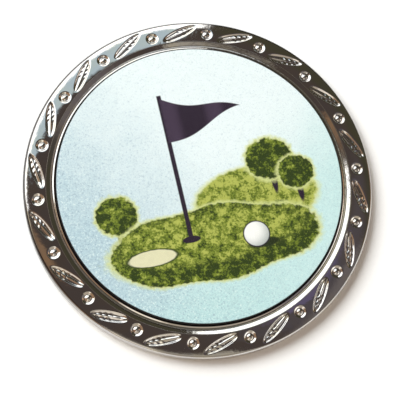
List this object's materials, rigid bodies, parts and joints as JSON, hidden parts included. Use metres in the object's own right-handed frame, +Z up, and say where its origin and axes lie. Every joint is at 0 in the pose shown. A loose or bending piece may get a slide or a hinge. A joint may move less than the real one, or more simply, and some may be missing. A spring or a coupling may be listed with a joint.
{
  "type": "ball marker",
  "caption": "Round cast coin ball marker with a rim of cut leaves and dimples, and a raised printed disc under a clear cover bonded into its recess.",
  "frame": {"origin": "centre of the flat back of the coin", "axes": "+Z up through the printed face, which faces +Z; +X towards the right of the print"},
  "size_m": [0.031, 0.031, 0.002],
  "materials": {
    "plated_metal": "bright nickel-chrome plating on cast zinc alloy, smooth and mirror-like with soft cast relief",
    "adhesive": "double-sided acrylic adhesive film",
    "backing_steel": "stamped steel disc with a dark satin edge",
    "print": "pale aqua printed sheet with mottled green and dark artwork",
    "clear_film": "clear satin-gloss laminate over the print"
  },
  "bodies": {
    "root": {"coin_body": "plated_metal", "adhesive_pad": "adhesive", "backing_disc": "backing_steel", "printed_disc": "print", "clear_cover": "clear_film"}
  },
  "joints": []
}
